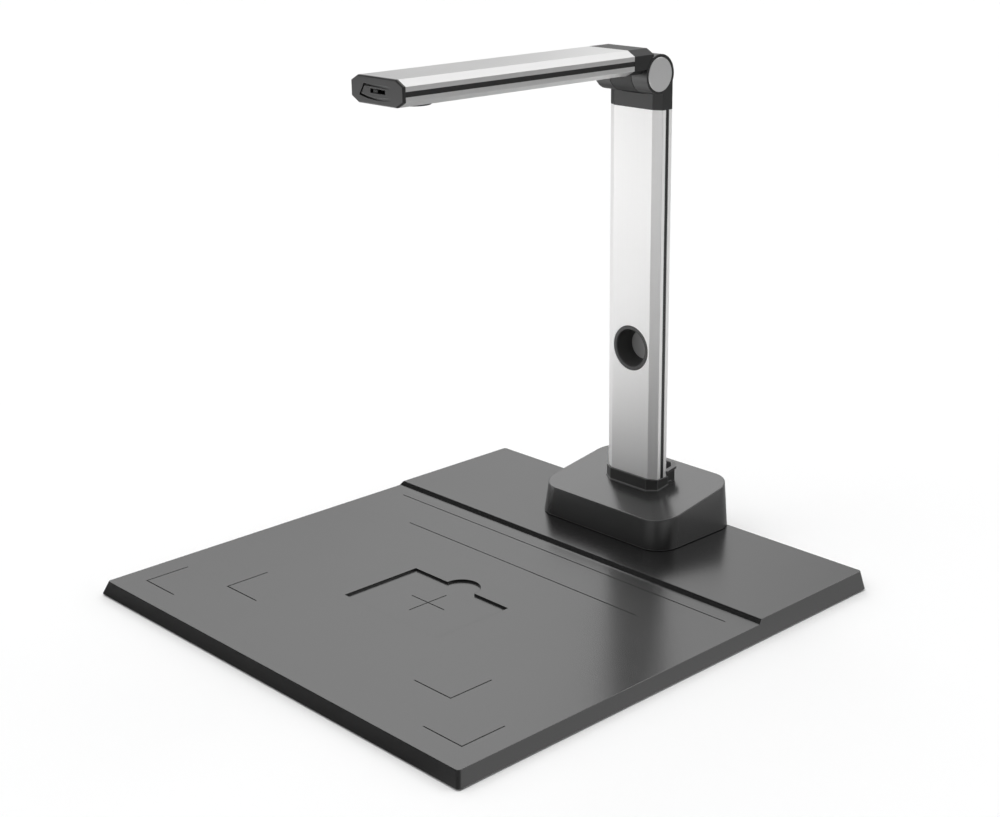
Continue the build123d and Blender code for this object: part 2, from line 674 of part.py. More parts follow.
with BuildPart() as bracket:
    with BuildSketch(Plane.YZ):
        with BuildLine():
            Polyline(
                (COL_FRONT, COL_TOP), (BACK_Y, COL_TOP), (BACK_Y, AXIS_Z - 5),
                (AXIS_Y + EAR_RADIUS - 1.2, AXIS_Z + 5), (AXIS_Y, AXIS_Z), (COL_FRONT, AXIS_Z),
                close=True,
            )
        make_face()
        with Locations((AXIS_Y, AXIS_Z)):
            Circle(EAR_RADIUS)
    extrude(amount=SIDE_HALF, both=True)
    # the block under the ears carries on the column's chamfers
    with BuildPart(mode=Mode.PRIVATE) as envelope:
        with BuildSketch(Plane.XY.offset(COL_TOP)):
            with BuildLine():
                Polyline(*profile_points(COL_FRONT), close=True)
            make_face()
        extrude(amount=60)
        with BuildSketch(Plane.YZ):
            with Locations((AXIS_Y, AXIS_Z)):
                Circle(EAR_RADIUS)
        extrude(amount=SIDE_HALF, both=True)
    add(envelope.part, mode=Mode.INTERSECT)
    # room for the arm's knuckle
    with BuildSketch(Plane.YZ):
        with Locations((AXIS_Y, AXIS_Z)):
            Circle(EAR_RADIUS + HINGE_CLEAR)
    extrude(amount=EAR_INNER, both=True, mode=Mode.SUBTRACT)
    with BuildSketch(Plane.YZ):
        with Locations((AXIS_Y, AXIS_Z + 20)):
            Rectangle(40, 40)
    extrude(amount=EAR_INNER, both=True, mode=Mode.SUBTRACT)
    # seats for the shaft and the silver end caps
    with BuildSketch(Plane.YZ):
        with Locations((AXIS_Y, AXIS_Z)):
            Circle(SHAFT_RADIUS)
    extrude(amount=SIDE_HALF + 1, both=True, mode=Mode.SUBTRACT)
    for side in (-1, 1):
        with BuildSketch(Plane.YZ.offset(side * (SIDE_HALF - CAP_SEAT))):
            with Locations((AXIS_Y, AXIS_Z)):
                Circle(CAP_RADIUS + 0.1)
        extrude(amount=side * 3, mode=Mode.SUBTRACT)
    # plug inside the column, open in the middle for the wiring
    with BuildSketch(Plane.XY.offset(COL_TOP - PLUG_DROP)):
        with BuildLine():
            Polyline(*profile_points(COL_FRONT, -PLUG_INSET), close=True)
        make_face()
        with Locations((0, COL_FRONT + 6.2)):
            Rectangle(*WIRE_SLOT, mode=Mode.SUBTRACT)
    extrude(amount=PLUG_DROP)
    with BuildSketch(Plane.XZ.offset(-(BACK_Y + 1))):
        with Locations(*BRACKET_SPOTS):
            Circle(1.3)
    extrude(amount=7, mode=Mode.SUBTRACT)
bracket.part.label = "hinge_bracket"
export_step(bracket.part, "parts/hinge_bracket.step")

with BuildPart() as bracket_screws:
    with BuildSketch(Plane.XZ.offset(-(BACK_Y + BRACKET_HEAD_HEIGHT))):
        with Locations(*BRACKET_SPOTS):
            Circle(BRACKET_HEAD)
    extrude(amount=BRACKET_HEAD_HEIGHT - 0.02)
    with BuildSketch(Plane.XZ.offset(-(BACK_Y + 0.1))):
        with Locations(*BRACKET_SPOTS):
            Circle(1.25)
    extrude(amount=5.5)
    with BuildSketch(Plane.XZ.offset(-(BACK_Y + BRACKET_HEAD_HEIGHT))):
        for spot in BRACKET_SPOTS:
            with Locations(spot):
                Rectangle(3.0, 0.6)
                Rectangle(0.6, 3.0)
    extrude(amount=0.8, mode=Mode.SUBTRACT)
bracket_screws.part.label = "bracket_screws"
export_step(bracket_screws.part, "parts/bracket_screws.step")

with BuildPart() as hinge_shaft:
    with BuildSketch(Plane.YZ):
        with Locations((AXIS_Y, AXIS_Z)):
            Circle(SHAFT_RADIUS)
    extrude(amount=SIDE_HALF - 1.3, both=True)
    chamfer(hinge_shaft.edges().filter_by(GeomType.CIRCLE), length=0.4)
hinge_shaft.part.label = "hinge_shaft"
export_step(hinge_shaft.part, "parts/hinge_shaft.step")


# silver discs that close the ears
for name, side in (("hinge_cap_left", -1), ("hinge_cap_right", 1)):
    with BuildPart() as end_cap:
        with BuildSketch(Plane.YZ.offset(side * (SIDE_HALF - CAP_SEAT + GAP))):
            with Locations((AXIS_Y, AXIS_Z)):
                Circle(CAP_RADIUS)
        extrude(amount=side * (CAP_SEAT + GAP))
        outer_face = end_cap.faces().sort_by(Axis.X)[-1 if side > 0 else 0]
        chamfer(outer_face.edges(), length=0.25)
    end_cap.part.label = name
    export_step(end_cap.part, f"parts/{name}.step")

# ---------------------------------------------------------------- arm
INNER_LOW = ARM_UNDER + PROFILE_WALL
INNER_HIGH = ARM_UNDER + PROFILE_DEPTH - PROFILE_WALL
TUBE_FRONT = ARM_TIP + TIP_FLANGE
SLEEVE_RADIUS = 5.5

with BuildPart() as root_cap:
    with BuildSketch(Plane.XZ.offset(-ROOT_REAR)):
        with BuildLine():
            Polyline(*profile_points(ARM_UNDER), close=True)
        make_face()
    extrude(amount=ROOT_REAR - ARM_REAR)
    # clearance round the bracket's ears
    with BuildSketch(Plane.YZ):
        with Locations((AXIS_Y, AXIS_Z)):
            Circle(EAR_RADIUS + HINGE_CLEAR)
    extrude(amount=SIDE_HALF + 2, both=True, mode=Mode.SUBTRACT)
    with BuildSketch(Plane.YZ):
        with Locations((AXIS_Y, AXIS_Z)):
            Circle(EAR_RADIUS)
        with BuildLine():
            Polyline(
                (ARM_REAR + 6, ARM_UNDER), (AXIS_Y - 5, ARM_UNDER), (AXIS_Y - 5, AXIS_Z + 11),
                (ARM_REAR + 6, ARM_UNDER + PROFILE_DEPTH - 1), close=True,
            )
        make_face()
    extrude(amount=KNUCKLE_HALF, both=True)
    with BuildSketch(Plane.YZ):
        with Locations((AXIS_Y, AXIS_Z)):
            Circle(SLEEVE_RADIUS)
    extrude(amount=SIDE_HALF, both=True, mode=Mode.SUBTRACT)
    # plug inside the arm extrusion
    with BuildSketch(Plane.XZ.offset(-ARM_REAR)):
        with BuildLine():
            Polyline(*profile_points(ARM_UNDER, -PLUG_INSET), close=True)
        make_face()
        with Locations((0, ARM_UNDER + PROFILE_DEPTH / 2)):
            Rectangle(*WIRE_SLOT, mode=Mode.SUBTRACT)
    extrude(amount=12)
root_cap.part.label = "arm_root_cap"
export_step(root_cap.part, "parts/arm_root_cap.step")

with BuildPart() as friction_sleeve:
    with BuildSketch(Plane.YZ):
        with Locations((AXIS_Y, AXIS_Z)):
            Circle(SLEEVE_RADIUS)
            Circle(SHAFT_RADIUS + RUNNING_FIT, mode=Mode.SUBTRACT)
    extrude(amount=KNUCKLE_HALF - 0.1, both=True)
friction_sleeve.part.label = "friction_sleeve"
export_step(friction_sleeve.part, "parts/friction_sleeve.step")

# light window opening, behind the lens
LIGHT_Y = CROSS_Y + 19.5
LIGHT_SIZE = (20.0, 7.0)

with BuildPart() as arm_profile:
    with BuildSketch(Plane.XZ.offset(-ARM_REAR)) as arm_section:
        with BuildLine():
            Polyline(*profile_points(ARM_UNDER), close=True)
        make_face()
        fillet(arm_section.vertices(), radius=EDGE_ROUND)
        with BuildLine():
            Polyline(*profile_points(ARM_UNDER, -PROFILE_WALL), close=True)
        make_face(mode=Mode.SUBTRACT)
        for side in (-1, 1):
            with Locations((side * (SIDE_HALF - STRIP_GROOVE / 2), strip_centre(ARM_UNDER))):
                Rectangle(STRIP_GROOVE, STRIP_WIDTH, mode=Mode.SUBTRACT)
    extrude(amount=ARM_REAR - TUBE_FRONT)
    with BuildSketch(Plane.XY.offset(ARM_UNDER - 1)):
        with Locations((0, CROSS_Y)):
            Circle(9.5)
        with Locations((0, LIGHT_Y)):
            RectangleRounded(LIGHT_SIZE[0] + 0.2, LIGHT_SIZE[1] + 0.2, 1.5)
    extrude(amount=PROFILE_WALL + 2, mode=Mode.SUBTRACT)
arm_profile.part.label = "arm_profile"
export_step(arm_profile.part, "parts/arm_profile.step")


for name, side in (("arm_strip_left", -1), ("arm_strip_right", 1)):
    with BuildPart() as strip:
        with BuildSketch(Plane.XZ.offset(-ARM_REAR)):
            with Locations((side * STRIP_X, strip_centre(ARM_UNDER))):
                Rectangle(STRIP_THICK, STRIP_WIDTH - 2 * STRIP_PLAY)
        extrude(amount=ARM_REAR - TUBE_FRONT)
    strip.part.label = name
    export_step(strip.part, f"parts/{name}.step")

# ---------------------------------------------------------------- arm tip and its slide switch
TIP_MID_Z = ARM_UNDER + PROFILE_DEPTH / 2
SLOT_LEFT = -5.4
SLOT_RIGHT = 7.4
SLOT_HEIGHT = 2.4
KNOB_PLAY = 0.3
CHANNEL_SIZE = (18.0, 4.6)
SLIDER_SIZE = (6.0, 3.8)
GROOVE_WIDTH = 1.25
GROOVE_DEPTH = 1.35             # at the left, running out towards GROOVE_END
GROOVE_LEFT = -16.0
GROOVE_END = 11.5
TIP_CHAMFER = 0.6
PLUG_END = TUBE_FRONT + 7.0

with BuildPart() as tip_cap:
    with BuildSketch(Plane.XZ.offset(-TUBE_FRONT)):
        with BuildLine():
            Polyline(*profile_points(ARM_UNDER), close=True)
        make_face()
    extrude(amount=TIP_FLANGE)
    chamfer(tip_cap.faces().sort_by(Axis.Y)[0].edges(), length=TIP_CHAMFER)
    with BuildSketch(Plane.XZ.offset(-PLUG_END)):
        with BuildLine():
            Polyline(*profile_points(ARM_UNDER, -PLUG_INSET), close=True)
        make_face()
    extrude(amount=PLUG_END - TUBE_FRONT)
    # room for the switch behind the face
    with BuildSketch(Plane.XZ.offset(-PLUG_END)):
        with Locations(((SLOT_LEFT + SLOT_RIGHT) / 2, TIP_MID_Z)):
            Rectangle(24, 8)
    extrude(amount=PLUG_END - TUBE_FRONT - 0.4, mode=Mode.SUBTRACT)
    # groove round the switch panel that runs out towards the right
    with BuildPart(mode=Mode.PRIVATE) as groove:
        with BuildSketch(Plane.XZ.offset(-(ARM_TIP + 3))):
            with BuildLine():
                upper = Polyline(
                    (-15.2, TIP_MID_Z - 3.0), (-11.0, TIP_MID_Z + 3.7),
                    (11.0, TIP_MID_Z + 3.3), (14.7, TIP_MID_Z - 3.4),
                )
                ThreePointArc(upper @ 1, (-1.0, TIP_MID_Z - 4.95), upper @ 0)
            make_face()
            offset(amount=-GROOVE_WIDTH, kind=Kind.INTERSECTION, mode=Mode.SUBTRACT)
        extrude(amount=6)
        with BuildSketch(Plane.XY.offset(ARM_UNDER)):
            with BuildLine():
                Polyline(
                    (GROOVE_LEFT, ARM_TIP + GROOVE_DEPTH), (GROOVE_END, ARM_TIP),
                    (GROOVE_END, ARM_TIP - 3), (GROOVE_LEFT, ARM_TIP - 3), close=True,
                )
            make_face()
        extrude(amount=PROFILE_DEPTH, mode=Mode.INTERSECT)
    add(groove.part, mode=Mode.SUBTRACT)
    with BuildSketch(Plane.XZ.offset(-(TUBE_FRONT + 2))):
        with Locations(((SLOT_LEFT + SLOT_RIGHT) / 2, TIP_MID_Z)):
            RectangleRounded(SLOT_RIGHT - SLOT_LEFT, SLOT_HEIGHT, 0.3)
    extrude(amount=6, mode=Mode.SUBTRACT)
tip_cap.part.label = "tip_cap"
export_step(tip_cap.part, "parts/tip_cap.step")

SWITCH_MID = (SLOT_LEFT + SLOT_RIGHT) / 2
SWITCH_FRONT = TUBE_FRONT + 0.5
with BuildPart() as switch_body:
    with BuildSketch(Plane.XZ.offset(-(PLUG_END - 0.4))):
        with Locations((SWITCH_MID, TIP_MID_Z)):
            Rectangle(22, 7.4)
    extrude(amount=PLUG_END - 0.4 - SWITCH_FRONT)
    # channel in which the slider runs
    with BuildSketch(Plane.XZ.offset(-(SWITCH_FRONT + 3.0))):
        with Locations((SWITCH_MID, TIP_MID_Z)):
            Rectangle(*CHANNEL_SIZE)
    extrude(amount=5.0, mode=Mode.SUBTRACT)
switch_body.part.label = "switch_body"
export_step(switch_body.part, "parts/switch_body.step")

KNOB_X = -1.4
with BuildPart() as switch_knob:
    with BuildSketch(Plane.XZ.offset(-(SWITCH_FRONT + 2.5))):
        with Locations((KNOB_X, TIP_MID_Z)):
            Rectangle(*SLIDER_SIZE)
    extrude(amount=2.0)
    with BuildSketch(Plane.XZ.offset(-(SWITCH_FRONT + 2.5))):
        with Locations((KNOB_X, TIP_MID_Z)):
            Rectangle(3.4, SLOT_HEIGHT - 2 * KNOB_PLAY)
    extrude(amount=SWITCH_FRONT + 2.5 - ARM_TIP - 0.35)
    # grip ribs
    with BuildSketch(Plane.XZ.offset(-(ARM_TIP + 0.65))):
        for dx in (-0.9, 0.0, 0.9):
            with Locations((KNOB_X + dx, TIP_MID_Z)):
                Rectangle(0.35, SLOT_HEIGHT)
    extrude(amount=1.0, mode=Mode.SUBTRACT)
switch_knob.part.label = "switch_knob"
export_step(switch_knob.part, "parts/switch_knob.step")

# ---------------------------------------------------------------- camera in the arm
RING_LOW = ARM_UNDER - LENS_DROP
RING_BORE = 7.2
WINDOW_SEAT = 8.3
BARREL_RADIUS = 6.4
GLASS_RADIUS = 4.3
BOARD_LOW = INNER_HIGH - 2.6
with BuildPart() as lens_ring:
    with BuildSketch(Plane.XY.offset(RING_LOW)):
        with Locations((0, CROSS_Y)):
            Circle(LENS_RING_RADIUS)
    extrude(amount=LENS_DROP - 0.02)
    chamfer(lens_ring.faces().sort_by(Axis.Z)[0].edges(), length=0.5)
    with BuildSketch(Plane.XY.offset(ARM_UNDER - 0.02)):
        with Locations((0, CROSS_Y)):
            Circle(9.4)
    extrude(amount=3.6)
    with BuildSketch(Plane.XY.offset(RING_LOW + 0.6)):
        with Locations((0, CROSS_Y)):
            Circle(WINDOW_SEAT)
    extrude(amount=10, mode=Mode.SUBTRACT)
    with BuildSketch(Plane.XY.offset(RING_LOW)):
        with Locations((0, CROSS_Y)):
            Circle(RING_BORE)
    extrude(amount=10, mode=Mode.SUBTRACT)
lens_ring.part.label = "lens_ring"
export_step(lens_ring.part, "parts/lens_ring.step")

with BuildPart() as lens_window:
    with BuildSketch(Plane.XY.offset(RING_LOW + 0.62)):
        with Locations((0, CROSS_Y)):
            Circle(WINDOW_SEAT - GAP)
    extrude(amount=0.9)
lens_window.part.label = "lens_window"
export_step(lens_window.part, "parts/lens_window.step")

BARREL_LOW = RING_LOW + 2.0
with BuildPart() as lens_barrel:
    with BuildSketch(Plane.XY.offset(BARREL_LOW)):
        with Locations((0, CROSS_Y)):
            Circle(BARREL_RADIUS)
    extrude(amount=BOARD_LOW - 1.4 - BARREL_LOW)
    with BuildSketch(Plane.XY.offset(BOARD_LOW - 1.42)):
        with Locations((0, CROSS_Y)):
            Rectangle(15, 15)
            Rectangle(9, 9, mode=Mode.SUBTRACT)
    extrude(amount=1.4)
    with BuildSketch(Plane.XY.offset(BARREL_LOW)):
        with Locations((0, CROSS_Y)):
            Circle(GLASS_RADIUS + 0.1)
    extrude(amount=2.2, mode=Mode.SUBTRACT)
lens_barrel.part.label = "lens_barrel"
export_step(lens_barrel.part, "parts/lens_barrel.step")

with BuildPart() as lens_glass:
    with BuildSketch(Plane.XY.offset(BARREL_LOW + 0.4)):
        with Locations((0, CROSS_Y)):
            Circle(GLASS_RADIUS)
    extrude(amount=1.7)
    fillet(lens_glass.faces().sort_by(Axis.Z)[0].edges(), radius=1.2)
lens_glass.part.label = "lens_glass"
export_step(lens_glass.part, "parts/lens_glass.step")

CAMERA_SPOTS = [(sx * 12.0, CROSS_Y + dy) for sx in (-1, 1) for dy in (-12.5, 8.0)]
with BuildPart() as camera_board:
    with BuildSketch(Plane.XY.offset(BOARD_LOW)):
        with Locations((0, CROSS_Y + 2)):
            Rectangle(30, 36)
        with Locations(*CAMERA_SPOTS):
            Circle(1.1, mode=Mode.SUBTRACT)
    extrude(amount=1.2)
    with BuildSketch(Plane.XY.offset(BOARD_LOW + 1.2)):
        with Locations((-5, CROSS_Y + 13), (6, CROSS_Y + 14)):
            Rectangle(7, 6)
    extrude(amount=0.9)
camera_board.part.label = "camera_board"
export_step(camera_board.part, "parts/camera_board.step")

with BuildPart() as image_sensor:
    with BuildSketch(Plane.XY.offset(BOARD_LOW - 1.0)):
        with Locations((0, CROSS_Y)):
            Rectangle(8, 7)
    extrude(amount=1.0 - 0.01)
image_sensor.part.label = "image_sensor"
export_step(image_sensor.part, "parts/image_sensor.step")

# carrier that holds the boards inside the arm
CARRIER_LOW = INNER_LOW + 0.1
with BuildPart() as camera_carrier:
    with BuildSketch(Plane.XY.offset(CARRIER_LOW)):
        with Locations((0, CROSS_Y + 6)):
            Rectangle(29.6, 46)
        with Locations((0, CROSS_Y)):
            Circle(9.7, mode=Mode.SUBTRACT)
        with Locations((0, LIGHT_Y)):
            Rectangle(26, 11, mode=Mode.SUBTRACT)
    extrude(amount=1.2)
    with BuildSketch(Plane.XY.offset(CARRIER_LOW + 1.2)):
        with Locations(*CAMERA_SPOTS):
            Circle(2.4)
    extrude(amount=BOARD_LOW - 0.02 - CARRIER_LOW - 1.2)
    with BuildSketch(Plane.XY.offset(CARRIER_LOW)):
        with Locations(*CAMERA_SPOTS):
            Circle(0.9)
    extrude(amount=12, mode=Mode.SUBTRACT)
camera_carrier.part.label = "camera_carrier"
export_step(camera_carrier.part, "parts/camera_carrier.step")

with BuildPart() as camera_screws:
    with Locations(*[(x, y, BOARD_LOW - 4.0) for x, y in CAMERA_SPOTS]):
        Cylinder(0.85, 5.6, align=ON_SEAT)
    with Locations(*[(x, y, BOARD_LOW + 1.21) for x, y in CAMERA_SPOTS]):
        Cylinder(1.8, 1.0, align=ON_SEAT)
camera_screws.part.label = "camera_screws"
export_step(camera_screws.part, "parts/camera_screws.step")

# fill light: a clear window in the arm's underside with two LEDs over it
with BuildPart() as light_window:
    with BuildSketch(Plane.XY.offset(ARM_UNDER + 0.1)):
        with Locations((0, LIGHT_Y)):
            RectangleRounded(LIGHT_SIZE[0], LIGHT_SIZE[1], 1.4)
    extrude(amount=PROFILE_WALL)
    with BuildSketch(Plane.XY.offset(INNER_LOW + 0.02)):
        with Locations((0, LIGHT_Y)):
            Rectangle(24, 9.6)
    extrude(amount=0.9)
light_window.part.label = "light_window"
export_step(light_window.part, "parts/light_window.step")

LIGHT_LOW = INNER_LOW + 3.2
with BuildPart() as light_board:
    with BuildSketch(Plane.XY.offset(LIGHT_LOW)):
        with Locations((0, LIGHT_Y)):
            Rectangle(24, 8)
    extrude(amount=1.0)
light_board.part.label = "light_board"
export_step(light_board.part, "parts/light_board.step")

with BuildPart() as light_leds:
    with BuildSketch(Plane.XY.offset(LIGHT_LOW - 0.8)):
        with Locations((-6.5, LIGHT_Y), (6.5, LIGHT_Y)):
            Rectangle(3.5, 3.5)
    extrude(amount=0.8 - 0.01)
light_leds.part.label = "light_leds"
export_step(light_leds.part, "parts/light_leds.step")
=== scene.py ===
"""Looks of a book scanner: an engraved scan plate, a pedestal, a column and a camera arm.

Every piece is a CAD node as packed. This script gives the pieces their materials, and makes
the white stage, the light and the camera of the photograph.
"""
import json
import math

import bpy
from mathutils import Matrix, Vector


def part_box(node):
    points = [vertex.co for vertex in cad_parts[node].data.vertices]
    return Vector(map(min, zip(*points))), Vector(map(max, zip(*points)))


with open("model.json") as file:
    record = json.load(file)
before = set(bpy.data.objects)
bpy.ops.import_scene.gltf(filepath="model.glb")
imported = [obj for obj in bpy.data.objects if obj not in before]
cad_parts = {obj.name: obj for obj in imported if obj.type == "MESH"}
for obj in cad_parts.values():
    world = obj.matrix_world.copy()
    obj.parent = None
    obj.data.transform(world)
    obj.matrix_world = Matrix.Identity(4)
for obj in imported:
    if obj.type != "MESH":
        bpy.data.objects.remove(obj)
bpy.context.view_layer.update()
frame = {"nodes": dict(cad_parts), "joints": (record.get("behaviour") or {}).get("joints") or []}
scene = bpy.context.scene

MM = 0.001


# ---------------------------------------------------------------- node helpers
def new_tree(name):
    material = bpy.data.materials.new(name)
    material.use_nodes = True
    tree = material.node_tree
    tree.nodes.clear()
    return material, tree


def add_node(tree, kind, inputs=None, **settings):
    """A node of that kind; inputs are values, or sockets to link from."""
    node = tree.nodes.new("ShaderNode" + kind)
    for name, value in settings.items():
        setattr(node, name, value)
    for key, value in (inputs or {}).items():
        if isinstance(value, bpy.types.NodeSocket):
            tree.links.new(value, node.inputs[key])
        else:
            node.inputs[key].default_value = value
    return node


def combine(tree, operation, first, *others):
    """Chains a math operation over sockets and numbers."""
    for other in others:
        first = add_node(tree, "Math", {0: first, 1: other}, operation=operation).outputs[0]
    return first


def vector_math(tree, operation, *vectors):
    """The node that does a vector operation on sockets and tuples."""
    return add_node(tree, "VectorMath", dict(enumerate(vectors)), operation=operation)


def ramp(tree, value, start, end, low=0.0, high=1.0, shape="LINEAR"):
    """Goes from low at start to high at end, and stays there beyond them."""
    node = add_node(tree, "MapRange", {
        "Value": value, "From Min": start, "From Max": end, "To Min": low, "To Max": high,
    }, interpolation_type=shape)
    return node.outputs["Result"]


def fade(tree, value, start, end, low=0.0, high=1.0):
    """A ramp that eases in and out."""
    return ramp(tree, value, start, end, low, high, shape="SMOOTHSTEP")


def vary(tree, pattern, middle, spread):
    """Turns a pattern of 0 to 1 into middle - spread to middle + spread."""
    return ramp(tree, pattern, 0.0, 1.0, middle - spread, middle + spread)


def mapped(tree, scale=(1, 1, 1)):
    """Coordinates fixed to the piece, in metres, stretched by scale."""
    coords = add_node(tree, "TexCoord")
    mapping = add_node(tree, "Mapping", {"Vector": coords.outputs["Object"], "Scale": scale})
    return mapping.outputs["Vector"]


def axis_of(tree, vector, axis):
    return add_node(tree, "SeparateXYZ", {0: vector}).outputs[axis]


def noise(tree, vector, scale, detail=2.0, rough=0.5):
    """Noise of 0 to 1, with about `scale` features to the metre."""
    node = add_node(tree, "TexNoise", {
        "Vector": vector, "Scale": scale, "Detail": detail, "Roughness": rough,
    })
    return node.outputs["Fac"]


def grain(tree, vector, size_mm):
    """Fine surface grain, with features of about size_mm."""
    return noise(tree, vector, 1 / (size_mm * MM), detail=3.0, rough=0.6)


def edge_mask(tree, radius, full):
    """0 on open faces, rising to 1 at edges.

    It compares the face's normal with the normal rounded over radius: 1 is reached where their
    dot product has dropped to full.
    """
    bevel = add_node(tree, "Bevel", {"Radius": radius}, samples=6)
    normal = add_node(tree, "NewGeometry").outputs["Normal"]
    dot = vector_math(tree, "DOT_PRODUCT", bevel.outputs["Normal"], normal).outputs["Value"]
    return ramp(tree, dot, FLAT, full)


def mix_color(tree, factor, a, b):
    """Mixes two colours, each a socket or an RGB tuple."""
    node = add_node(tree, "Mix", {"Factor": factor}, data_type="RGBA")
    for key, value in ((6, a), (7, b)):
        if isinstance(value, bpy.types.NodeSocket):
            tree.links.new(value, node.inputs[key])
        else:
            node.inputs[key].default_value = (*value, 1.0)
    return node.outputs[2]


def grey(value, warm=0.0):
    return (value * (1 + warm), value, value * (1 - warm))


def add_bump(tree, height, depth_mm, **inputs):
    node = add_node(tree, "Bump", {
        "Height": height, "Distance": depth_mm * MM, "Strength": 1.0, **inputs,
    })
    return node.outputs["Normal"]


def finish_tree(tree, shader):
    output = add_node(tree, "OutputMaterial")
    tree.links.new(shader.outputs[0], output.inputs["Surface"])


# ---------------------------------------------------------------- materials
FLAT = 0.995                    # dot product of two normals that count as the same
EDGE_ROUND = 0.25 * MM          # radius that moulded edges catch the light with
EDGE_PALER = 2.6                # a paler edge's tone over the face's, where it has none of its own; partly a worn edge, partly a painted highlight line
MOTTLE = 0.1                    # tone of moulded plastic, over broad patches
SPREAD = 0.035                  # roughness, within the grain
SMEAR = 0.02                    # roughness, over broad patches
STEEP, UPWARD = 0.5, 0.7        # Z of the normal of a wall, and of a face that counts as a top
CUP_FLOOR_TONE = 0.42           # disc at the bottom of the lens pocket
CUP_FLOOR_BLEND = 0.1 * MM
DRAWN_ACROSS, DRAWN_ALONG = 900.0, 12.0     # grain of an extrusion, features to the metre
DRAWN_SPREAD = 0.05
DRAWN_TINT = 0.004              # warmth of the aluminium
TURNED_SPREAD = 0.06
RINGS = 6000.0                  # turning marks to the metre
TRACKS = 500.0                  # cells of the circuit board to the metre
MASK_OVER_COPPER, MASK = (0.02, 0.11, 0.04), (0.01, 0.055, 0.02)
GLASS_IOR, MILKY_IOR = 1.52, 1.49


def moulded_plastic(name, tone, rough, grain_mm=0.35, grain_depth_mm=0.004, wear_and_highlight=0.35,
                    warm=0.0, ior=1.48, level=0.5, wall_rough=0.0,
                    edge_tone=None, edge_mm=0.5, edge_full=0.80, floor_y=None):
    """Dark moulded plastic: spark-eroded grain, flow marks, edges polished by handling, painted
    edge highlights.

    wear_and_highlight: how far the edges go towards edge_tone, in a band that edge_mm and
    edge_full shape.
    level: strength of the mirror reflection, 0.5 being what the IOR gives.
    wall_rough: extra roughness of the steep faces.
    floor_y: what lies further back than this is a paler disc.
    """
    material, tree = new_tree(name)
    vector = mapped(tree)
    fine = grain(tree, vector, grain_mm)
    broad = noise(tree, vector, 18.0, detail=3.0, rough=0.55)

    mottled = mix_color(tree, broad,
                        grey(tone * (1 - MOTTLE), warm), grey(tone * (1 + MOTTLE), warm))
    # pale edges: partly worn by handling, partly a painted highlight line standing in for light
    # caught by the rounded edge
    edge_wear_and_highlight = combine(tree, "MULTIPLY", edge_mask(tree, edge_mm * MM, edge_full), wear_and_highlight)
    colour = mix_color(tree, edge_wear_and_highlight, mottled, grey(edge_tone or tone * EDGE_PALER, warm))
    if floor_y:
        disc = ramp(tree, axis_of(tree, vector, "Y"), floor_y - CUP_FLOOR_BLEND, floor_y)
        colour = mix_color(tree, disc, colour, grey(CUP_FLOOR_TONE))

    roughness = combine(tree, "ADD", vary(tree, fine, rough, SPREAD), vary(tree, broad, 0, SMEAR))
    if wall_rough:
        upright = axis_of(tree, add_node(tree, "NewGeometry").outputs["Normal"], "Z")
        rougher = ramp(tree, upright, STEEP, UPWARD, wall_rough, 0.0)
        roughness = combine(tree, "ADD", roughness, rougher)

    rounded = add_node(tree, "Bevel", {"Radius": EDGE_ROUND}, samples=8)
    shader = add_node(tree, "BsdfPrincipled", {
        "Base Color": colour, "Roughness": roughness, "IOR": ior, "Specular IOR Level": level,
        "Normal": add_bump(tree, fine, grain_depth_mm, Normal=rounded.outputs["Normal"]),
    })
    finish_tree(tree, shader)
    return material


def anodised(name, axis, tone=0.8, rough=0.42, metal=0.7):
    """Satin anodised aluminium with a fine grain drawn along the extrusion."""
    material, tree = new_tree(name)
    stretch = [DRAWN_ACROSS] * 3
    stretch[axis] = DRAWN_ALONG
    drawn = noise(tree, mapped(tree, stretch), 1.0, detail=4.0, rough=0.65)
    cloud = noise(tree, mapped(tree), 14.0)
    colour = mix_color(tree, drawn, grey(tone * 0.97, DRAWN_TINT), grey(tone * 1.02, DRAWN_TINT))
    shader = add_node(tree, "BsdfPrincipled", {
        "Base Color": colour, "Metallic": metal,
        "Roughness": combine(tree, "ADD", vary(tree, drawn, rough, DRAWN_SPREAD),
                             vary(tree, cloud, 0, SMEAR)),
        "Normal": add_bump(tree, drawn, 0.0015),
    })
    finish_tree(tree, shader)
    return material


def plain_metal(name, tone, rough, grain_mm=0.3, spun=None):
    """Turned or plated metal: a fine grain, or rings about the X axis through a point (spun)."""
    material, tree = new_tree(name)
    vector = mapped(tree)
    if spun is None:
        fine = grain(tree, vector, grain_mm)
    else:
        offset = vector_math(tree, "SUBTRACT", vector, (0.0, spun[1], spun[2])).outputs[0]
        across = vector_math(tree, "MULTIPLY", offset, (0.0, 1.0, 1.0)).outputs[0]
        radius = vector_math(tree, "LENGTH", across).outputs["Value"]
        fine = add_node(tree, "TexNoise", {"W": radius, "Scale": RINGS, "Detail": 2.0},
                        noise_dimensions="1D").outputs["Fac"]
    shader = add_node(tree, "BsdfPrincipled", {
        "Base Color": mix_color(tree, fine, grey(tone * 0.95), grey(tone * 1.05)),
        "Metallic": 1.0,
        "Roughness": vary(tree, fine, rough, TURNED_SPREAD),
        "Normal": add_bump(tree, fine, 0.002),
    })
    finish_tree(tree, shader)
    return material


def circuit_board(name):
    """Green solder mask with a hint of the copper underneath."""
    material, tree = new_tree(name)
    cells = add_node(tree, "TexVoronoi", {"Vector": mapped(tree), "Scale": TRACKS},
                     feature="DISTANCE_TO_EDGE")
    between = ramp(tree, cells.outputs["Distance"], 0.03, 0.09)
    colour = mix_color(tree, between, MASK_OVER_COPPER, MASK)
    shader = add_node(tree, "BsdfPrincipled", {"Base Color": colour, "Roughness": 0.35})
    finish_tree(tree, shader)
    return material


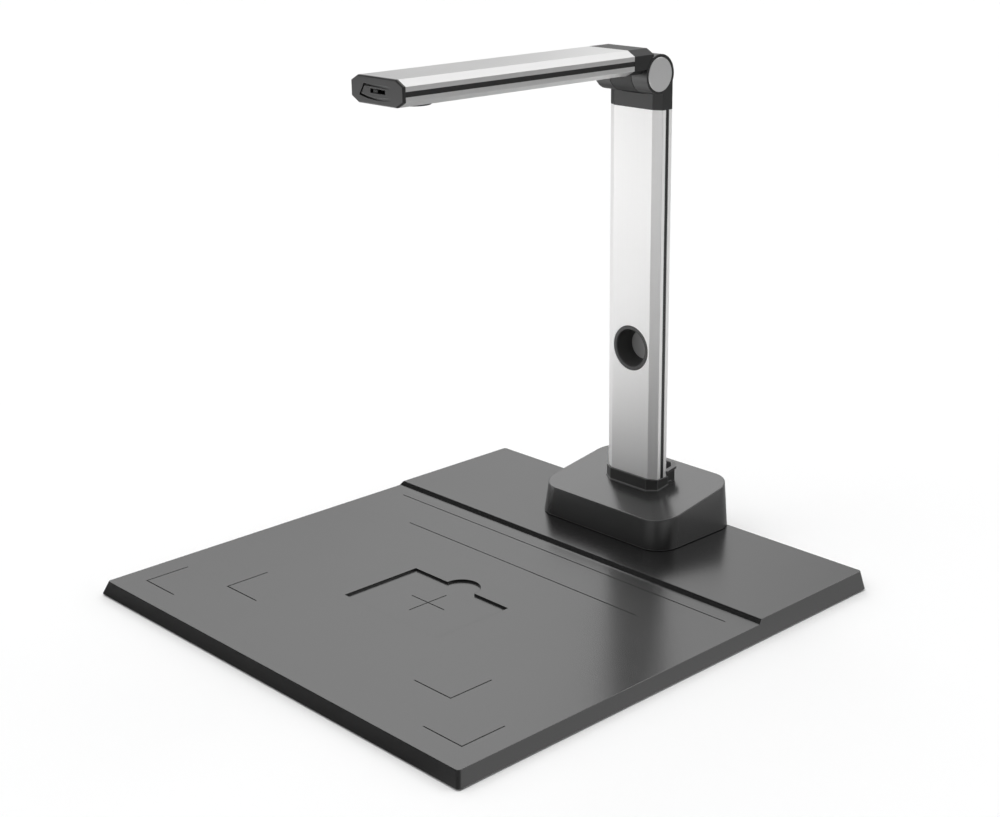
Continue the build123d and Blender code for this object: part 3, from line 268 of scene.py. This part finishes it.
def clear_glass(name, tint, rough=0.03):
    """Coated glass, with faint smears in its polish."""
    material, tree = new_tree(name)
    smears = noise(tree, mapped(tree), 160.0, detail=3.0)
    shader = add_node(tree, "BsdfPrincipled", {
        "Base Color": (*tint, 1.0), "Roughness": ramp(tree, smears, 0.0, 1.0, rough, rough + 0.04),
        "IOR": GLASS_IOR, "Transmission Weight": 1.0,
    })
    finish_tree(tree, shader)
    return material


def milky(name, tone, rough):
    """Milky diffuser plastic."""
    material, tree = new_tree(name)
    fine = noise(tree, mapped(tree), 2500.0, detail=3.0)
    shader = add_node(tree, "BsdfPrincipled", {
        "Base Color": mix_color(tree, fine, grey(tone * 0.96), grey(tone)),
        "Roughness": rough, "Normal": add_bump(tree, fine, 0.003),
        "Transmission Weight": 0.35, "IOR": MILKY_IOR,
    })
    finish_tree(tree, shader)
    return material


HINGE = next(joint["pos_m"] for joint in frame["joints"] if joint["name"] == "arm_hinge")
CUP_FLOOR_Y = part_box("lens_pocket")[1][1] - 1.1 * MM

DECK = moulded_plastic("deck_satin", 0.0145, 0.23, grain_mm=0.30, grain_depth_mm=0.0005,
                       wear_and_highlight=0.25, ior=1.74, wall_rough=0.22)
HOUSING = moulded_plastic("housing_satin", 0.013, 0.42, grain_depth_mm=0.001,
                          wear_and_highlight=0.3, ior=1.5, edge_tone=0.05)
# the collar's pale edge_tone paints a highlight line along its rim and foot
COLLAR = moulded_plastic("collar_satin", 0.038, 0.34, grain_depth_mm=0.0006,
                         wear_and_highlight=0.9, ior=1.6, edge_tone=0.20, edge_mm=0.8, edge_full=0.93)
CUP = moulded_plastic("cup_satin", 0.045, 0.45, grain_depth_mm=0.001,
                      wear_and_highlight=0.3, ior=1.5, floor_y=CUP_FLOOR_Y)
# the pedestal's pale edge_tone paints a highlight line along its top edges
PEDESTAL = moulded_plastic("pedestal_gloss", 0.032, 0.24, grain_depth_mm=0.0004,
                           wear_and_highlight=0.9, ior=1.70, edge_tone=0.16, edge_mm=0.7, edge_full=0.93)
ROOT = moulded_plastic("root_matt", 0.020, 0.48, grain_depth_mm=0.001,
                       wear_and_highlight=0.3, ior=1.5, edge_tone=0.05, level=0.27)
COVER = moulded_plastic("cover_matt", 0.018, 0.45, grain_mm=0.5, grain_depth_mm=0.006)
STRIP = moulded_plastic("strip_black", 0.012, 0.35, grain_mm=0.4, grain_depth_mm=0.003)
RUBBER = moulded_plastic("foot_rubber", 0.015, 0.65, grain_mm=0.6, grain_depth_mm=0.01, wear_and_highlight=0.2)
SLEEVE = moulded_plastic("sleeve_polymer", 0.25, 0.4, warm=0.08)
LENS_BLACK = moulded_plastic("lens_black", 0.010, 0.4, grain_mm=0.4)
ALU_Z = anodised("anodised_column", 2, tone=0.96, rough=0.57, metal=0.6)
ALU_Y = anodised("anodised_arm", 1, tone=0.64, rough=0.34)
SILVER = plain_metal("cap_silver", 0.78, 0.38, spun=HINGE)
STEEL = plain_metal("screw_steel", 0.55, 0.28)
SHAFT = plain_metal("shaft_steel", 0.6, 0.18)
CAST = plain_metal("die_cast_zinc", 0.4, 0.45, grain_mm=0.8)
SOCKET = plain_metal("socket_nickel", 0.62, 0.22)
BOARD = circuit_board("board_green")
GLASS = clear_glass("lens_coated", (0.85, 0.88, 0.95))
WINDOW = clear_glass("window_smoked", (0.25, 0.26, 0.28))
DIFFUSER = milky("light_diffuser", 0.75, 0.35)
LED = milky("led_white", 0.85, 0.3)

NODE_MATERIAL = {
    "scan_plate": DECK, "plate_cover": COVER, "plate_feet": RUBBER, "cover_screws": STEEL,
    "pedestal_shell": PEDESTAL, "pedestal_base": COVER, "base_screws": STEEL,
    "shell_screws": STEEL, "column_foot": CAST, "foot_screws": STEEL, "base_board": BOARD,
    "board_screws": STEEL, "usb_socket": SOCKET, "socket_collar": COLLAR,
    "column_profile": ALU_Z, "column_strip_left": STRIP, "column_strip_right": STRIP,
    "lens_pocket": CUP, "hinge_bracket": HOUSING, "bracket_screws": STEEL, "hinge_shaft": SHAFT,
    "hinge_cap_left": SILVER, "hinge_cap_right": SILVER, "arm_root_cap": ROOT,
    "friction_sleeve": SLEEVE, "arm_profile": ALU_Y, "arm_strip_left": STRIP,
    "arm_strip_right": STRIP, "tip_cap": HOUSING, "switch_body": LENS_BLACK,
    "lens_ring": LENS_BLACK, "lens_window": WINDOW, "lens_barrel": LENS_BLACK,
    "lens_glass": GLASS, "camera_board": BOARD, "image_sensor": LENS_BLACK,
    "camera_carrier": COVER, "camera_screws": STEEL, "light_window": DIFFUSER,
    "light_board": BOARD, "light_leds": LED, "switch_knob": HOUSING,
}
for name, node in frame["nodes"].items():
    node.data.materials.clear()
    node.data.materials.append(NODE_MATERIAL[name])


# ---------------------------------------------------------------- stage
# Angles are in degrees and distances in metres. A lobe is light round one direction: it is
# full within one angle of it and fades out towards a wider one.
COLUMN_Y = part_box("column_profile")[0][1]

# The white floor as the part's surfaces mirror it, around the column
FLOOR_WHITE = (0.93, 0.93, 0.93, 1.0)
FLOOR_SIZE = 60.0
FLOOR_BASE = 0.60
FLOOR_LOBES = (                     # azimuth, edge, full, strength
    (238, 66, 22, 3.45),
    (110, 45, 14, 0.25),
    (315, 55, 15, 0.40),
)
NEAR = (0.2, 0.8, 0.62, 1.0)        # distance from, to, level from, to
FAR = (1.3, 2.3, 1.0, 0.04)
STRIP_AHEAD = (-0.75, -0.25)        # the dim strip before the plate: Y over which it comes in,
STRIP_BESIDE = (-0.45, -0.28)       # X over which it comes in,
STRIP_END = (-0.174, -0.16)         # Y over which it ends
STRIP_LEVEL = 0.04
DIM_CORNER = (-0.27, -0.26, 0.0)    # middle of the dim patch off the plate's front left corner
CORNER = (0.09, 0.20, 0.03, 1.0)    # distance from, to, level from, to
RIGHT_IN = (0.12, 0.17, 0.0, 0.65)  # glow along the plate's right side: X from, to, level
RIGHT_OUT = (0.30, 0.60, 1.0, 0.0)

# The light all round
SKY_BASE = 0.05
SKY_LOBES = (                       # azimuth, elevation, edge, full, strength
    (135, 72, 84, 30, 0.58),        # broad, from above
    (165, 22, 46, 15, 1.12),        # behind, to the left, low
    (125, 54, 34, 16, 1.00),        # behind, halfway up
    (170, 48, 17, 9, 2.50),         # small lamp to the left
    (81, 48, 17, 9, 2.50),          # and its mirror image to the right
)
SHADES = (                          # the same, but these are taken away from the sky
    (148, 6, 15, 9, 0.95),
    (200, 44, 26, 14, 1.00),
)
LOW_LOBES = (                       # the same, and these stay bright down to the horizon
    (43, 5, 42, 15, 1.25),
    (126, 6, 11, 5, 1.50),
)
HORIZON = (0.10, 0.31, 0.1, 1.0)    # Z of the direction from, to, level from, to

SUN_STRENGTH = 1.42
SUN_WIDTH = 70
SUN_BEARING = (238, 60)             # azimuth, elevation

CAMERA_PLACE = (0.750976, -0.681209, 0.457392)
CAMERA_AXES = (                     # right, up and back
    (0.705007, 0.709193, -0.003181),
    (-0.217926, 0.220903, 0.950637),
    (0.674888, -0.669512, 0.310290),
)
CAMERA_LENS = 62.79                 # mm, on a sensor 36 mm wide
CAMERA_SHIFT = (-0.058704, -0.008324)


def bearing(azimuth, elevation=0.0):
    """Unit vector; azimuth is counter-clockwise from +X, elevation above the floor."""
    turn, rise = math.radians(azimuth), math.radians(elevation)
    return (math.cos(turn) * math.cos(rise), math.sin(turn) * math.cos(rise), math.sin(rise))


def lobe(tree, direction, centre, edge, full, strength):
    dot = vector_math(tree, "DOT_PRODUCT", direction, centre).outputs["Value"]
    edge, full = math.cos(math.radians(edge)), math.cos(math.radians(full))
    return fade(tree, dot, edge, full, 0.0, strength)


def sky_lobes(tree, direction, rows):
    return [lobe(tree, direction, bearing(azimuth, elevation), *rest)
            for azimuth, elevation, *rest in rows]


def make_floor():
    """A diffuse white floor, except in mirror reflections, which see it brighter or dimmer."""
    bpy.ops.mesh.primitive_plane_add(size=FLOOR_SIZE, location=(0, 0, 0))
    floor = bpy.context.object
    floor.name = "studio_floor"
    material, tree = new_tree("pale_floor")

    place = add_node(tree, "NewGeometry").outputs["Position"]
    from_column = vector_math(tree, "SUBTRACT", place, (0.0, COLUMN_Y, 0.0)).outputs[0]
    direction = vector_math(tree, "NORMALIZE", from_column).outputs[0]
    lobes = [lobe(tree, direction, bearing(azimuth), *rest) for azimuth, *rest in FLOOR_LOBES]
    distance = vector_math(tree, "LENGTH", place).outputs["Value"]
    x, y = axis_of(tree, place, "X"), axis_of(tree, place, "Y")

    in_strip = combine(tree, "MULTIPLY", fade(tree, y, *STRIP_AHEAD), fade(tree, x, *STRIP_BESIDE),
                       fade(tree, y, *STRIP_END, 1.0, 0.0))
    strip = fade(tree, in_strip, 0.0, 1.0, 1.0, STRIP_LEVEL)
    from_corner = vector_math(tree, "DISTANCE", place, DIM_CORNER).outputs["Value"]
    level = combine(tree, "MULTIPLY", combine(tree, "ADD", FLOOR_BASE, *lobes),
                    fade(tree, distance, *NEAR), fade(tree, distance, *FAR),
                    strip, fade(tree, from_corner, *CORNER))
    right = combine(tree, "MULTIPLY", fade(tree, x, *RIGHT_IN), fade(tree, x, *RIGHT_OUT))

    white = add_node(tree, "BsdfDiffuse", {"Color": FLOOR_WHITE})
    glow = add_node(tree, "Emission", {"Strength": combine(tree, "ADD", level, right)})
    mirrored = add_node(tree, "LightPath").outputs["Is Glossy Ray"]
    finish_tree(tree, add_node(tree, "MixShader", {
        0: mirrored, 1: white.outputs[0], 2: glow.outputs[0],
    }))
    floor.data.materials.append(material)


def make_world():
    """White to the camera. The part is lit from above and behind, and hardly from the front."""
    world = bpy.data.worlds.new("studio")
    scene.world = world
    world.use_nodes = True
    tree = world.node_tree
    tree.nodes.clear()

    direction = add_node(tree, "TexCoord").outputs["Generated"]
    horizon = fade(tree, axis_of(tree, direction, "Z"), *HORIZON)
    level = combine(tree, "ADD", SKY_BASE, *sky_lobes(tree, direction, SKY_LOBES))
    level = combine(tree, "MULTIPLY", level, horizon)
    for shade in sky_lobes(tree, direction, SHADES):
        level = combine(tree, "MULTIPLY", level, combine(tree, "SUBTRACT", 1.0, shade))
    level = combine(tree, "ADD", level, *sky_lobes(tree, direction, LOW_LOBES))

    light = add_node(tree, "Background", {"Strength": level})
    backdrop = add_node(tree, "Background", {"Color": (1.0, 1.0, 1.0, 1.0), "Strength": 1.0})
    seen = add_node(tree, "LightPath").outputs["Is Camera Ray"]
    mixed = add_node(tree, "MixShader", {0: seen, 1: light.outputs[0], 2: backdrop.outputs[0]})
    output = add_node(tree, "OutputWorld")
    tree.links.new(mixed.outputs[0], output.inputs["Surface"])


def make_sun():
    """Broad lamp high at the front left, which no surface mirrors."""
    light = bpy.data.lights.new("overhead", "SUN")
    light.energy = SUN_STRENGTH
    light.angle = math.radians(SUN_WIDTH)
    lamp = bpy.data.objects.new("overhead", light)
    scene.collection.objects.link(lamp)
    lamp.rotation_euler = (-Vector(bearing(*SUN_BEARING))).to_track_quat("-Z", "Y").to_euler()
    lamp.visible_glossy = False


def make_camera():
    data = bpy.data.cameras.new("camera")
    camera = bpy.data.objects.new("camera", data)
    scene.collection.objects.link(camera)
    turn = Matrix(CAMERA_AXES).transposed()
    camera.matrix_world = Matrix.Translation(CAMERA_PLACE) @ turn.to_4x4()
    data.sensor_width = 36.0
    data.lens = CAMERA_LENS
    data.shift_x, data.shift_y = CAMERA_SHIFT
    data.clip_start = 0.01
    scene.camera = camera


make_floor()
make_world()
make_sun()
make_camera()
scene.view_settings.view_transform = "Standard"
scene.view_settings.look = "None"
